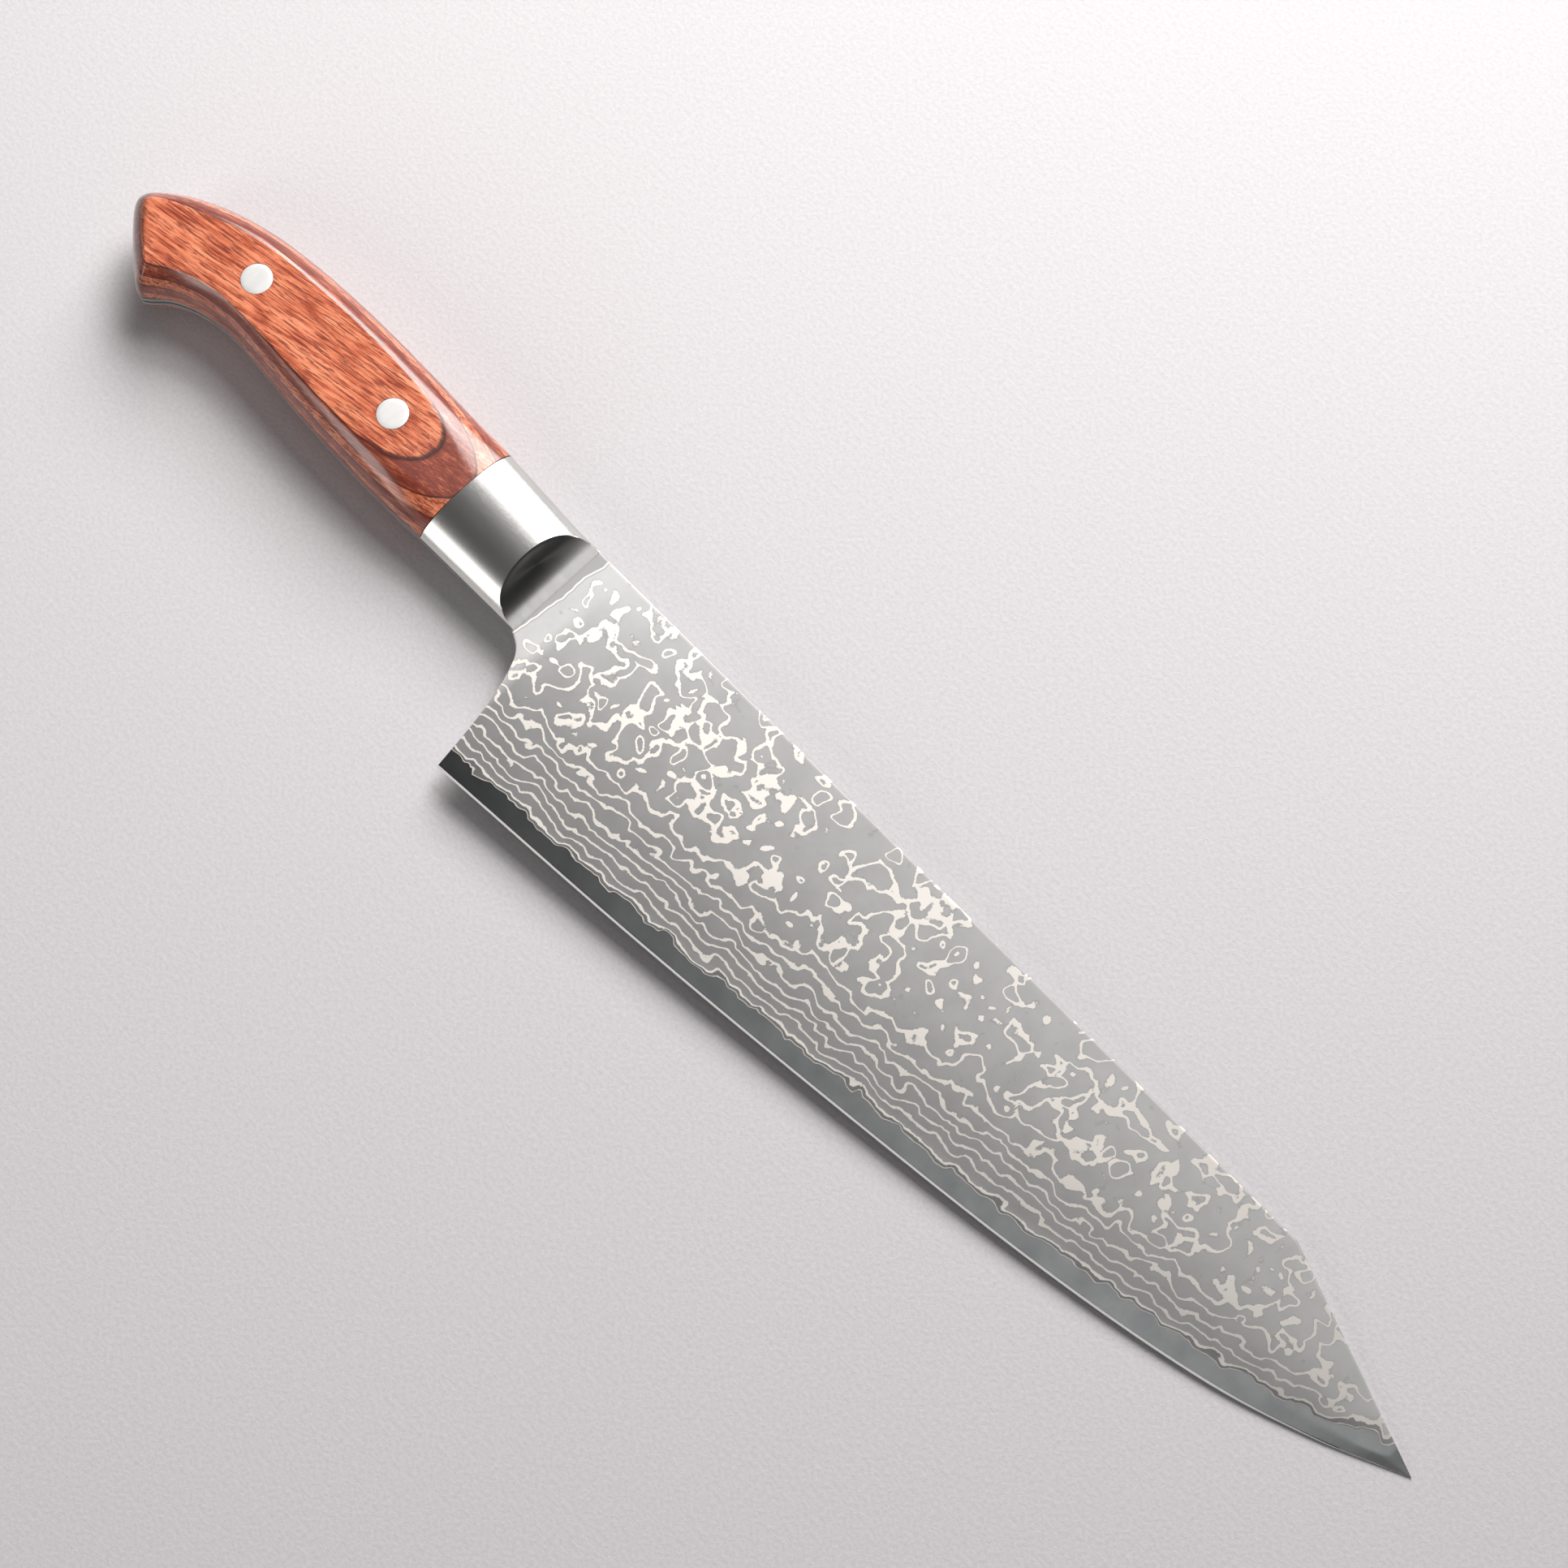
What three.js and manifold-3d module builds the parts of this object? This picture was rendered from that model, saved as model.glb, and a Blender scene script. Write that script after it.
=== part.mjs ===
// Chef knife with a laminated blade, a full tang, a welded two-half bolster and two riveted wooden scales.
// Units are millimetres. Every piece is drawn in the knife's own frame: X runs along the spine to the tip,
// Y points from the edge to the spine, Z points out of the right side of the blade. The middle of the blade's
// thickness is Z = 0, the straight part of the spine is Y = 0, and X = 0 is just behind the heel. At the end
// the whole knife is turned a few degrees, into the attitude in which it lies on a level surface on its left
// side.
import * as THREE from "three";
import { mergeVertices } from "three/addons/utils/BufferGeometryUtils.js";
import Module from "manifold-3d";

const wasm = await Module();
wasm.setup();

// ---- driving dimensions ----
const tip = [240.2, -17.1];
const heel = [2.9, -55.1];
const spineKink = [193, 0]; // the spine drops straight from here to the tip
const neckX = -8; // the choil starts here
const bolsterFrontX = -7.2; // the hollow grind runs out into the blade here
const gripFrontX = -36.2; // joint between bolster and scales
const gripHalf = 8.7; // middle of the blade to the flat of a scale
const bolsterHalf = 6.25;
const blankHalf = 1.5; // the blank is 3 mm thick at the tang and the neck
const coreHalf = 0.35; // the hard core takes up a quarter of that
const edgeHalf = 0.1;
const hollowRadius = 9.6; // hollow grind in front of the bolster
const bond = 0.02; // weld and glue lines
const jointGap = 0.05; // between the bolster and the end grain of the scales
const featherEdge = 0.04; // thickness left where the cladding and the bolster run out

const rivetX = { rear: -101.2, front: -57.9 };
const rivetY = -11.1;
const headRadius = 3.5;
const headDepth = 2;
const barrelRadius = 2.3;
const barrelEndZ = -5;
const pinRadius = 1.5;
const pinEndZ = 4;
const pinEndGap = 0.2; // left between the pin's end and the bottom of its bore
const rivetClearance = 0.04;
const roundSegments = 32;
const through = 1; // how far a cutter runs past the surface that it cuts

// ---- outlines ----
// A smooth function of x through a few [x, value] knots, with straight run-outs past both ends.
function smooth(knots) {
  const slope = (i) => {
    const a = knots[Math.max(i - 1, 0)];
    const b = knots[Math.min(i + 1, knots.length - 1)];
    return (b[1] - a[1]) / (b[0] - a[0]);
  };
  return (x) => {
    const last = knots.length - 1;
    if (x <= knots[0][0]) return knots[0][1] + slope(0) * (x - knots[0][0]);
    if (x >= knots[last][0]) return knots[last][1] + slope(last) * (x - knots[last][0]);
    const i = knots.findIndex((knot) => knot[0] >= x) - 1;
    const span = knots[i + 1][0] - knots[i][0];
    const t = (x - knots[i][0]) / span;
    const rise = 3 * t * t - 2 * t * t * t;
    return (
      knots[i][1] * (1 - rise) +
      knots[i + 1][1] * rise +
      span * slope(i) * t * (1 - t) * (1 - t) -
      span * slope(i + 1) * t * t * (1 - t)
    );
  };
}

const spineAt = (x) => {
  const drop = (tip[1] - spineKink[1]) / (tip[0] - spineKink[0]);
  return x < spineKink[0] ? 0 : drop * (x - spineKink[0]);
};
const edgeAt = smooth([
  heel,
  [60, -50.9],
  [120, -44.8],
  [165, -39],
  [200, -32.2],
  [222, -25.1],
  tip,
]);
// The choil's curve as x for each height y, from the heel up to the neck.
const choilTop = -24.3;
const choilAt = smooth([
  [heel[1], heel[0]],
  [-45.5, 1.7],
  [-37, 0.2],
  [-29.5, -2.2],
  [-26.4, -4.3],
  [choilTop, neckX],
]);

// Half the thickness of the blank at the spine, thinning towards the tip.
const spineHalfAt = smooth([[0, blankHalf], [60, 1.3], [190, 0.9], [228, 0.55], [tip[0], edgeHalf]]);
// The flat bevel takes up a little under half of the blade's height.
const bevelShare = 0.45;
const bevelWidthAt = (x) => bevelShare * (spineAt(x) - edgeAt(x));
// How far above the edge the core disappears under the cladding.
const claddingEndX = 236;
const coreShowsAt = smooth([[heel[0], 4.2], [100, 4.8], [180, 5.4], [212, 7], [claddingEndX, 5.2]]);

// The grip's outline where it meets the tang, and the crease that borders the flat of the scale, go together
// from the belly at the bolster, round the butt, to the spine side at the bolster.
// Each row is outline x, y, then crease x, y, then crease height and the angle of arc up to it.
const gripMiddle = -11.6;
const rim = [
  [gripFrontX, -24.4, gripFrontX, gripMiddle, bolsterHalf, 90],
  [-43, -24.7, -43, -16.2, 7.4, 84],
  [-51, -24.8, -51, -18.9, 8.35, 68],
  [-62, -24.6, -62, -19.8, gripHalf, 55],
  [-76, -24, -76, -19.6, gripHalf, 50],
  [-90, -22.8, -90, -18.9, gripHalf, 48],
  [-99, -22.3, -101, -18.6, gripHalf, 48],
  [-107, -23.4, -108.7, -19.4, gripHalf, 48],
  [-113.5, -26, -115.1, -21.5, gripHalf, 48],
  [-117.6, -29.5, -120.4, -24.5, gripHalf, 48],
  [-119.6, -30.4, -121.1, -24.9, gripHalf, 48],
  [-122.8, -28.8, -122.2, -24.4, gripHalf, 55],
  [-129.8, -23.3, -127.4, -20.2, gripHalf, 60],
  [-135.2, -17.9, -131.4, -16.4, gripHalf, 60],
  [-135.8, -14.5, -131.2, -14.9, gripHalf, 60],
  [-133.5, -11.4, -129.3, -13.5, gripHalf, 60],
  [-127.4, -7, -124.6, -10.7, gripHalf, 60],
  [-118, -2.9, -116.3, -7.1, gripHalf, 60],
  [-106, 0, -105.5, -4.3, gripHalf, 62],
  [-90, 1.6, -90, -2.9, gripHalf, 64],
  [-74, 2, -74, -2.5, gripHalf, 68],
  [-60, 1.8, -60, -3.2, gripHalf, 72],
  [-50, 1.5, -50, -5, 8.3, 78],
  [-43, 1.35, -43, -7.4, 7.4, 84],
  [gripFrontX, 1.25, gripFrontX, gripMiddle, bolsterHalf, 90],
];
const rimSteps = 3; // mesh steps from one row to the next

// A value of the rim rows, run through them by a Catmull-Rom spline.
function rimValue(column, t) {
  const i = Math.min(Math.floor(t), rim.length - 2);
  const at = (k) => rim[Math.min(Math.max(k, 0), rim.length - 1)][column];
  const f = t - i;
  const a = at(i - 1);
  const b = at(i);
  const c = at(i + 1);
  const d = at(i + 2);
  return b + 0.5 * f * (c - a + f * (2 * a - 5 * b + 4 * c - d + f * (3 * (b - c) + d - a)));
}

// ---- mesh helpers ----
function geometryOf(positions, triangles) {
  const geometry = new THREE.BufferGeometry();
  geometry.setAttribute("position", new THREE.Float32BufferAttribute(positions, 3));
  geometry.setIndex(triangles);
  return geometry;
}

// A closed surface as a solid that can be joined and cut.
function solidOf(geometry) {
  const bare = geometry.clone();
  for (const name of ["normal", "uv"]) bare.deleteAttribute(name);
  const merged = mergeVertices(bare, 1e-5);
  const index = merged.index.array;
  const triangles = [];
  for (let i = 0; i < index.length; i += 3) {
    const [a, b, c] = index.slice(i, i + 3);
    if (a !== b && b !== c && c !== a) triangles.push(a, b, c);
  }
  const vertProperties = merged.attributes.position.array;
  const build = (corners) => {
    const triVerts = new Uint32Array(corners);
    return new wasm.Manifold(new wasm.Mesh({ numProp: 3, vertProperties, triVerts }));
  };
  const solid = build(triangles);
  return solid.volume() > 0 ? solid : build(triangles.reverse());
}

function geometryFrom(solid) {
  const mesh = solid.getMesh();
  const geometry = geometryOf(Array.from(mesh.vertProperties), Array.from(mesh.triVerts));
  geometry.computeVertexNormals();
  return geometry;
}

// The same piece on the left side of the blade.
function mirrored(geometry) {
  const copy = geometry.clone();
  copy.scale(1, 1, -1);
  const index = copy.index.array;
  for (let i = 0; i < index.length; i += 3) [index[i], index[i + 1]] = [index[i + 1], index[i]];
  copy.computeVertexNormals();
  return copy;
}

// A closed solid between two surfaces over one grid of points. lines[i][j] is [x, y, top z, bottom z].
// With a folded end, the last line runs out and back over the same points, so that it needs no wall.
function slab(lines, foldedEnd = false) {
  const rows = lines[0].length;
  const layer = (side) => lines.flat().flatMap((p) => [p[0], p[1], p[side]]);
  const positions = [...layer(2), ...layer(3)];
  const under = lines.length * rows;
  const triangles = [];
  const quad = (a, b, c, d) => triangles.push(a, b, c, a, c, d);
  for (let i = 0; i + 1 < lines.length; i++) {
    for (let j = 0; j + 1 < rows; j++) {
      const a = i * rows + j;
      quad(a, a + rows, a + rows + 1, a + 1);
      quad(under + a, under + a + 1, under + a + rows + 1, under + a + rows);
    }
    const foot = i * rows;
    const top = foot + rows - 1;
    quad(foot, under + foot, under + foot + rows, foot + rows);
    quad(top, top + rows, under + top + rows, under + top);
  }
  for (let j = 0; j + 1 < rows; j++) {
    const last = (lines.length - 1) * rows;
    quad(j, j + 1, under + j + 1, under + j);
    if (!foldedEnd) quad(last + j, under + last + j, under + last + j + 1, last + j + 1);
  }
  return solidOf(geometryOf(positions, triangles));
}

// A flat plate over an outline of [x, y] points, from one height to another.
function plate(outline, from, to) {
  const shape = new THREE.Shape(outline.map((p) => new THREE.Vector2(...p)));
  const geometry = new THREE.ExtrudeGeometry(shape, { depth: to - from, bevelEnabled: false });
  geometry.translate(0, 0, from);
  return solidOf(geometry);
}

// A solid turned about the Z axis from a profile of [radius, z] points that starts and ends on the axis.
function turned(profile, x, y) {
  const geometry = new THREE.LatheGeometry(profile.map((p) => new THREE.Vector2(...p)), roundSegments);
  geometry.rotateX(Math.PI / 2);
  geometry.translate(x, y, 0);
  return solidOf(geometry);
}

function cylinder(radius, from, to, x) {
  return turned([[0, from], [radius, from], [radius, to], [0, to]], x, rivetY);
}

// ---- blank: core steel and cladding ----
const neckBottom = -24.2;
const overlapX = [neckX - 6, neckX - 4]; // blade and tang share this stretch of the blank
const heelLineX = 6; // where the line that starts at the heel meets the spine
const choilSteps = 7;
const edgeSteps = 30;
const bladeRows = 5; // from the edge to the spine

// Half the thickness of the ground blade: flat from the spine down to the bevel, then straight to the edge.
function bladeHalfAt(x, y) {
  const bladeX = Math.max(x, heel[0]);
  const above = Math.max(y - edgeAt(bladeX), 0);
  const up = Math.min(above / Math.max(bevelWidthAt(bladeX), edgeHalf), 1);
  return edgeHalf + (spineHalfAt(Math.max(x, 0)) - edgeHalf) * up;
}

// Lines across the blade, each from a foot to the spine. The feet run down the choil, then along footAt(x).
function bladeLines(footAt, endX, topAt, bottomAt) {
  const feet = [[overlapX[0], neckBottom]];
  const spineX = [overlapX[0]];
  const low = footAt(heel[0]);
  for (let i = 0; i <= choilSteps; i++) {
    const down = i / choilSteps;
    const y = choilTop + (low - choilTop) * down * down;
    feet.push([choilAt(y), y]);
    spineX.push(neckX + (heelLineX - neckX) * down);
  }
  const [startX] = feet.at(-1);
  const spineStart = spineX.at(-1);
  for (let i = 1; i <= edgeSteps; i++) {
    const along = i / edgeSteps;
    const x = startX + (endX - startX) * along;
    feet.push([x, footAt(x)]);
    spineX.push(spineStart + (endX - spineStart) * along);
  }
  return feet.map((foot, i) =>
    Array.from({ length: bladeRows + 1 }, (_, j) => {
      const up = (j / bladeRows) ** 1.5; // the rows stand closer on the bevel
      const x = foot[0] + (spineX[i] - foot[0]) * up;
      const y = foot[1] + (spineAt(spineX[i]) - foot[1]) * up;
      return [x, y, topAt(x, y), bottomAt(x, y)];
    }),
  );
}

// The tang's outline is flush with the scales and runs on under the bolster to the neck.
function tangOutline() {
  const grip = Array.from({ length: (rim.length - 1) * rimSteps + 1 }, (_, i) => [
    rimValue(0, i / rimSteps),
    rimValue(1, i / rimSteps),
  ]);
  const slope = (choilTop - neckBottom) / (neckX - overlapX[0]);
  const front = [
    [overlapX[0], 0],
    [overlapX[1], 0],
    [overlapX[1], neckBottom + slope * (overlapX[1] - overlapX[0])],
    [overlapX[0], neckBottom],
  ];
  return [...grip, ...front];
}

function withRivetHoles(solid, radius, from, to) {
  return Object.values(rivetX).reduce((part, x) => part.subtract(cylinder(radius, from, to, x)), solid);
}

function makeCore() {
  const half = (x, y) => Math.min(bladeHalfAt(x, y), coreHalf);
  const blade = slab(bladeLines(edgeAt, tip[0], half, (x, y) => -half(x, y)));
  const blank = blade.add(plate(tangOutline(), -coreHalf, coreHalf));
  const end = coreHalf + through;
  return geometryFrom(withRivetHoles(blank, barrelRadius + rivetClearance, -end, end));
}

function makeCladding() {
  const inner = coreHalf + bond;
  const footAt = (x) => Math.min(edgeAt(x) + coreShowsAt(x), spineAt(x));
  const outer = (x, y) => Math.max(bladeHalfAt(x, y), inner + featherEdge);
  const blade = slab(bladeLines(footAt, claddingEndX, outer, () => inner));
  const blank = blade.add(plate(tangOutline(), inner, blankHalf));
  return geometryFrom(withRivetHoles(blank, barrelRadius + rivetClearance, 0, blankHalf + through));
}

// ---- bolster ----
// Half of the grip's section at x: a half ellipse on the face of the blank, as [y, z] from belly to spine.
function bolsterSection(x, steps) {
  const back = (x - gripFrontX) / (overlapX[0] - gripFrontX);
  const low = rim[0][1] + (neckBottom - rim[0][1]) * Math.min(back, 1);
  const high = rim.at(-1)[1] * (1 - Math.min(back, 1));
  const middle = (low + high) / 2;
  const base = blankHalf + bond;
  const first = Math.asin(base / bolsterHalf);
  const radius = (high - low) / 2 / Math.cos(first);
  return Array.from({ length: steps + 1 }, (_, i) => {
    const angle = first + ((Math.PI - 2 * first) * i) / steps;
    return [middle - radius * Math.cos(angle), Math.max(bolsterHalf * Math.sin(angle), base)];
  });
}

// The wheel that grinds the hollow in front of the bolster, as a long bar across the blade.
function hollowCutter() {
  const floor = blankHalf + bond + featherEdge;
  const top = floor + 2 * hollowRadius;
  const front = bolsterFrontX + through;
  const shape = new THREE.Shape();
  shape.moveTo(bolsterFrontX, floor);
  shape.absarc(bolsterFrontX, floor + hollowRadius, hollowRadius, -Math.PI / 2, -Math.PI, true);
  shape.lineTo(bolsterFrontX - hollowRadius, top);
  shape.lineTo(front, top);
  shape.lineTo(front, floor);
  const depth = 2 * (rim.at(-1)[1] - rim[0][1]);
  const geometry = new THREE.ExtrudeGeometry(shape, { depth, bevelEnabled: false, curveSegments: 14 });
  geometry.rotateX(Math.PI / 2); // the profile stands in the XZ plane now, and runs along Y
  geometry.translate(0, depth / 2 + neckBottom / 2, 0);
  return solidOf(geometry);
}

function makeBolster() {
  const backX = gripFrontX + jointGap;
  const middleX = (backX + overlapX[0]) / 2;
  const lines = [backX, middleX, overlapX[0], neckX, bolsterFrontX].map((x) =>
    bolsterSection(x, 22).map(([y, z]) => [x, y, z, blankHalf + bond]),
  );
  return geometryFrom(slab(lines).subtract(hollowCutter()));
}

// ---- scales ----
const sideFlatness = 1.15; // over 1, the rounded sides stay a little fuller than an ellipse near the tang
const scaleRings = 6; // from the tang up to the crease

// One column of a scale: an arc of an ellipse from the outline at the tang up to the crease.
function scaleColumn(t) {
  const [x, y, creaseX, creaseY, height, degrees] = rim[0].map((_, column) => rimValue(column, t));
  const base = blankHalf + bond;
  const last = THREE.MathUtils.degToRad(Math.min(degrees, 90));
  const full = Math.min(height, gripHalf) / Math.sin(last);
  const first = Math.asin(base / full);
  const reach = Math.cos(first) - Math.cos(last);
  return Array.from({ length: scaleRings + 1 }, (_, j) => {
    const angle = first + ((last - first) * j) / scaleRings;
    const inward = ((Math.cos(first) - Math.cos(angle)) / reach) ** sideFlatness;
    return [x + (creaseX - x) * inward, y + (creaseY - y) * inward, full * Math.sin(angle), base];
  });
}

function makeScale() {
  const half = ((rim.length - 1) * rimSteps) / 2;
  const lines = Array.from({ length: half + 1 }, (_, i) => [
    ...scaleColumn(i / rimSteps),
    ...scaleColumn(rim.length - 1 - i / rimSteps).reverse(),
  ]);
  const drilled = withRivetHoles(slab(lines, true), barrelRadius + rivetClearance, 0, gripHalf);
  const seat = gripHalf - headDepth - rivetClearance;
  return geometryFrom(withRivetHoles(drilled, headRadius + rivetClearance, seat, gripHalf + through));
}

// ---- rivets ----
// The barrel goes in from the right, the pin is driven into its blind bore from the left.
function makeBarrel(x) {
  const boreTop = pinEndZ + pinEndGap;
  const profile = [
    [0, boreTop],
    [pinRadius + rivetClearance, boreTop],
    [pinRadius + rivetClearance, barrelEndZ],
    [barrelRadius, barrelEndZ],
    [barrelRadius, gripHalf - headDepth],
    [headRadius, gripHalf - headDepth],
    [headRadius, gripHalf],
    [0, gripHalf],
  ];
  return geometryFrom(turned(profile, x, rivetY));
}

function makePin(x) {
  const profile = [
    [0, -gripHalf],
    [headRadius, -gripHalf],
    [headRadius, headDepth - gripHalf],
    [pinRadius, headDepth - gripHalf],
    [pinRadius, pinEndZ],
    [0, pinEndZ],
  ];
  return geometryFrom(turned(profile, x, rivetY));
}

// ---- materials ----
function finish(color, roughness, metalness) {
  return new THREE.MeshStandardMaterial({ color, roughness, metalness });
}

const hardSteel = finish(0x6f7474, 0.3, 1);
const layeredSteel = finish(0xa3a3a0, 0.42, 1);
const satinSteel = finish(0xc9c8c4, 0.28, 1);
const rivetSteel = finish(0xe6e2de, 0.25, 1);
const laminatedWood = finish(0x9c4423, 0.3, 0);

// ---- assembly ----
const knife = new THREE.Group();

function place(name, geometry, material) {
  const mesh = new THREE.Mesh(geometry, material);
  mesh.name = name;
  knife.add(mesh);
}

function placePair(name, geometry, material) {
  place(name + "_right", geometry, material);
  place(name + "_left", mirrored(geometry), material);
}

place("core_steel", makeCore(), hardSteel);
placePair("cladding", makeCladding(), layeredSteel);
placePair("bolster", makeBolster(), satinSteel);
placePair("scale", makeScale(), laminatedWood);
for (const [name, x] of Object.entries(rivetX)) {
  place(name + "_rivet_barrel", makeBarrel(x), rivetSteel);
  place(name + "_rivet_pin", makePin(x), rivetSteel);
}

// Lying on its left side, the knife tips forward until the tip touches, and rolls a little towards the edge.
const lyingPitch = THREE.MathUtils.degToRad(1.62);
const lyingRoll = THREE.MathUtils.degToRad(1.47);
knife.rotation.set(lyingRoll, lyingPitch, 0);
knife.updateMatrixWorld(true);
const box = new THREE.Box3().setFromObject(knife, true);
const middle = box.getCenter(new THREE.Vector3());
knife.position.set(-middle.x, -middle.y, -box.min.z);

export default knife;
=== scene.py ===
# The looks of a chef knife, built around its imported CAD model. Lengths are millimetres in the knife's
# own frame: X runs along the spine to the tip, Y points from the edge to the spine, and Z points out of
# the right side of the blade. Each piece's mesh is drawn in that frame and then turned into metres in
# the frame in which the knife lies.
import math

import bmesh
import bpy
import numpy as np
from mathutils import Euler, Matrix, Vector


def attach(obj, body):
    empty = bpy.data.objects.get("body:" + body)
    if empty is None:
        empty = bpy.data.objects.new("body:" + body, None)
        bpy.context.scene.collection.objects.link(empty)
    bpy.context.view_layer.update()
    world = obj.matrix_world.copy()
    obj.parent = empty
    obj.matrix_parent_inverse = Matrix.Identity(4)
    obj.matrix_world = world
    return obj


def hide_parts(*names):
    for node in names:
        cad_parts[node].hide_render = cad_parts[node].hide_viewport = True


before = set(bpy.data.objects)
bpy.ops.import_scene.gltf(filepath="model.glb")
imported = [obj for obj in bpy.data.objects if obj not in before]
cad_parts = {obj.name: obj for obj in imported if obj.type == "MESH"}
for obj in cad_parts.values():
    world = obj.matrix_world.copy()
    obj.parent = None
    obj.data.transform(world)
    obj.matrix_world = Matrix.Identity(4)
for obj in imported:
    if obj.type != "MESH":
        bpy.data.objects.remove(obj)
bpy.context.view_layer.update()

# ---- driving dimensions ----
mm = 0.001
TIP = (240.2, -17.1)
HEEL = (2.9, -55.1)
SPINE_KINK_X = 193  # the spine drops straight from here to the tip
NECK_X = -8  # the choil starts here
CHOIL_TOP = -24.3
BOLSTER_FRONT_X = -7.2
GRIP_FRONT_X = -36.2  # joint between bolster and scales
GRIP_HALF = 8.7  # from the middle of the blade to the flat of a scale
BOLSTER_HALF = 6.25
BLANK_HALF = 1.5
CORE_HALF = 0.35
EDGE_HALF = 0.1
FEATHER_EDGE = 0.04  # thickness left where the cladding and the bolster run out
BOND = 0.02  # weld and glue lines
JOINT_GAP = 0.05  # between the bolster and the end grain of the scales
CLADDING_END_X = 236
NECK_BOTTOM = -24.2
OVERLAP_X = -14  # the bolster's section stays the same from here to the neck
RIVET_X = {"rear": -101.2, "front": -57.9}
RIVET_Y = -11.1
HEAD_RADIUS = 3.5
HEAD_DEPTH = 2
BARREL_RADIUS = 2.3
BARREL_END_Z = -5
PIN_RADIUS = 1.5
PIN_END_Z = 4
PIN_GAP = 0.04  # between a pin and the bore of its barrel
PIN_END_GAP = 0.2  # between a pin's end and the bottom of that bore
HOLE_GAP = 0.06  # between a rivet and the wood
LYING_ROLL = math.radians(1.47)
LYING_PITCH = math.radians(1.62)


def knife_frame():
    """The matrix from the knife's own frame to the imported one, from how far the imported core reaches."""
    turn = Matrix.Rotation(LYING_ROLL, 4, "X") @ Matrix.Rotation(LYING_PITCH, 4, "Y")
    back = turn.inverted()
    points = np.array([back @ v.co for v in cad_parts["core_steel"].data.vertices])
    low = points.min(0)
    high = points.max(0)
    shift = Vector((high[0] - TIP[0] * mm, low[1] - HEEL[1] * mm, (low[2] + high[2]) / 2))
    return turn @ Matrix.Translation(shift)


KNIFE = knife_frame()


# ---- outlines ----
def smooth(knots):
    """A smooth function of x through a few (x, value) knots, with straight run-outs past both ends."""
    xs, ys = np.array(knots, float).T
    last = len(xs) - 1
    order = np.arange(last + 1)
    low = np.maximum(order - 1, 0)
    high = np.minimum(order + 1, last)
    slope = (ys[high] - ys[low]) / (xs[high] - xs[low])

    def value(x):
        x = np.asarray(x, float)
        i = np.clip(np.searchsorted(xs, x) - 1, 0, last - 1)
        span = xs[i + 1] - xs[i]
        t = (x - xs[i]) / span
        rise = 3 * t**2 - 2 * t**3
        bend = span * (slope[i] * t * (1 - t) ** 2 - slope[i + 1] * t**2 * (1 - t))
        inside = ys[i] * (1 - rise) + ys[i + 1] * rise + bend
        before = ys[0] + slope[0] * (x - xs[0])
        after = ys[-1] + slope[-1] * (x - xs[-1])
        return np.where(x < xs[0], before, np.where(x > xs[-1], after, inside))

    return value


def spine_at(x):
    drop = TIP[1] / (TIP[0] - SPINE_KINK_X)
    return drop * np.maximum(np.asarray(x, float) - SPINE_KINK_X, 0)


edge_at = smooth([HEEL, (60, -50.9), (120, -44.8), (165, -39), (200, -32.2), (222, -25.1), TIP])
choil_at = smooth([
    (HEEL[1], HEEL[0]), (-45.5, 1.7), (-37, 0.2), (-29.5, -2.2), (-26.4, -4.3), (CHOIL_TOP, NECK_X),
])
spine_half_at = smooth([(0, BLANK_HALF), (60, 1.3), (190, 0.9), (228, 0.55), (TIP[0], EDGE_HALF)])


def blade_height(x):
    """From the edge up to the spine. Behind the heel the edge stays at the heel's height."""
    return spine_at(x) - edge_at(np.maximum(x, HEEL[0]))


# The grip's outline at the tang, and the crease that borders the flat of the scale. They run from the
# belly at the bolster round the butt to the spine side at the bolster. Each row is outline x and y,
# crease x and y, the crease's height and the angle of the arc up to it.
RIM = np.array([
    (GRIP_FRONT_X, -24.4, GRIP_FRONT_X, -11.6, BOLSTER_HALF, 90),
    (-43, -24.7, -43, -16.2, 7.4, 84),
    (-51, -24.8, -51, -18.9, 8.35, 68),
    (-62, -24.6, -62, -19.8, GRIP_HALF, 55),
    (-76, -24, -76, -19.6, GRIP_HALF, 50),
    (-90, -22.8, -90, -18.9, GRIP_HALF, 48),
    (-99, -22.3, -101, -18.6, GRIP_HALF, 48),
    (-107, -23.4, -108.7, -19.4, GRIP_HALF, 48),
    (-113.5, -26, -115.1, -21.5, GRIP_HALF, 48),
    (-117.6, -29.5, -120.4, -24.5, GRIP_HALF, 48),
    (-119.6, -30.4, -121.1, -24.9, GRIP_HALF, 48),
    (-122.8, -28.8, -122.2, -24.4, GRIP_HALF, 55),
    (-129.8, -23.3, -127.4, -20.2, GRIP_HALF, 60),
    (-135.2, -17.9, -131.4, -16.4, GRIP_HALF, 60),
    (-135.8, -14.5, -131.2, -14.9, GRIP_HALF, 60),
    (-133.5, -11.4, -129.3, -13.5, GRIP_HALF, 60),
    (-127.4, -7, -124.6, -10.7, GRIP_HALF, 60),
    (-118, -2.9, -116.3, -7.1, GRIP_HALF, 60),
    (-106, 0, -105.5, -4.3, GRIP_HALF, 62),
    (-90, 1.6, -90, -2.9, GRIP_HALF, 64),
    (-74, 2, -74, -2.5, GRIP_HALF, 68),
    (-60, 1.8, -60, -3.2, GRIP_HALF, 72),
    (-50, 1.5, -50, -5, 8.3, 78),
    (-43, 1.35, -43, -7.4, 7.4, 84),
    (GRIP_FRONT_X, 1.25, GRIP_FRONT_X, -11.6, BOLSTER_HALF, 90),
])
LAST_ROW = len(RIM) - 1
RIM_STEPS = 5  # lines drawn for each row
GRIP_LINES = LAST_ROW * RIM_STEPS // 2 + 1  # lines across the grip, from the bolster to the butt


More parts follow.
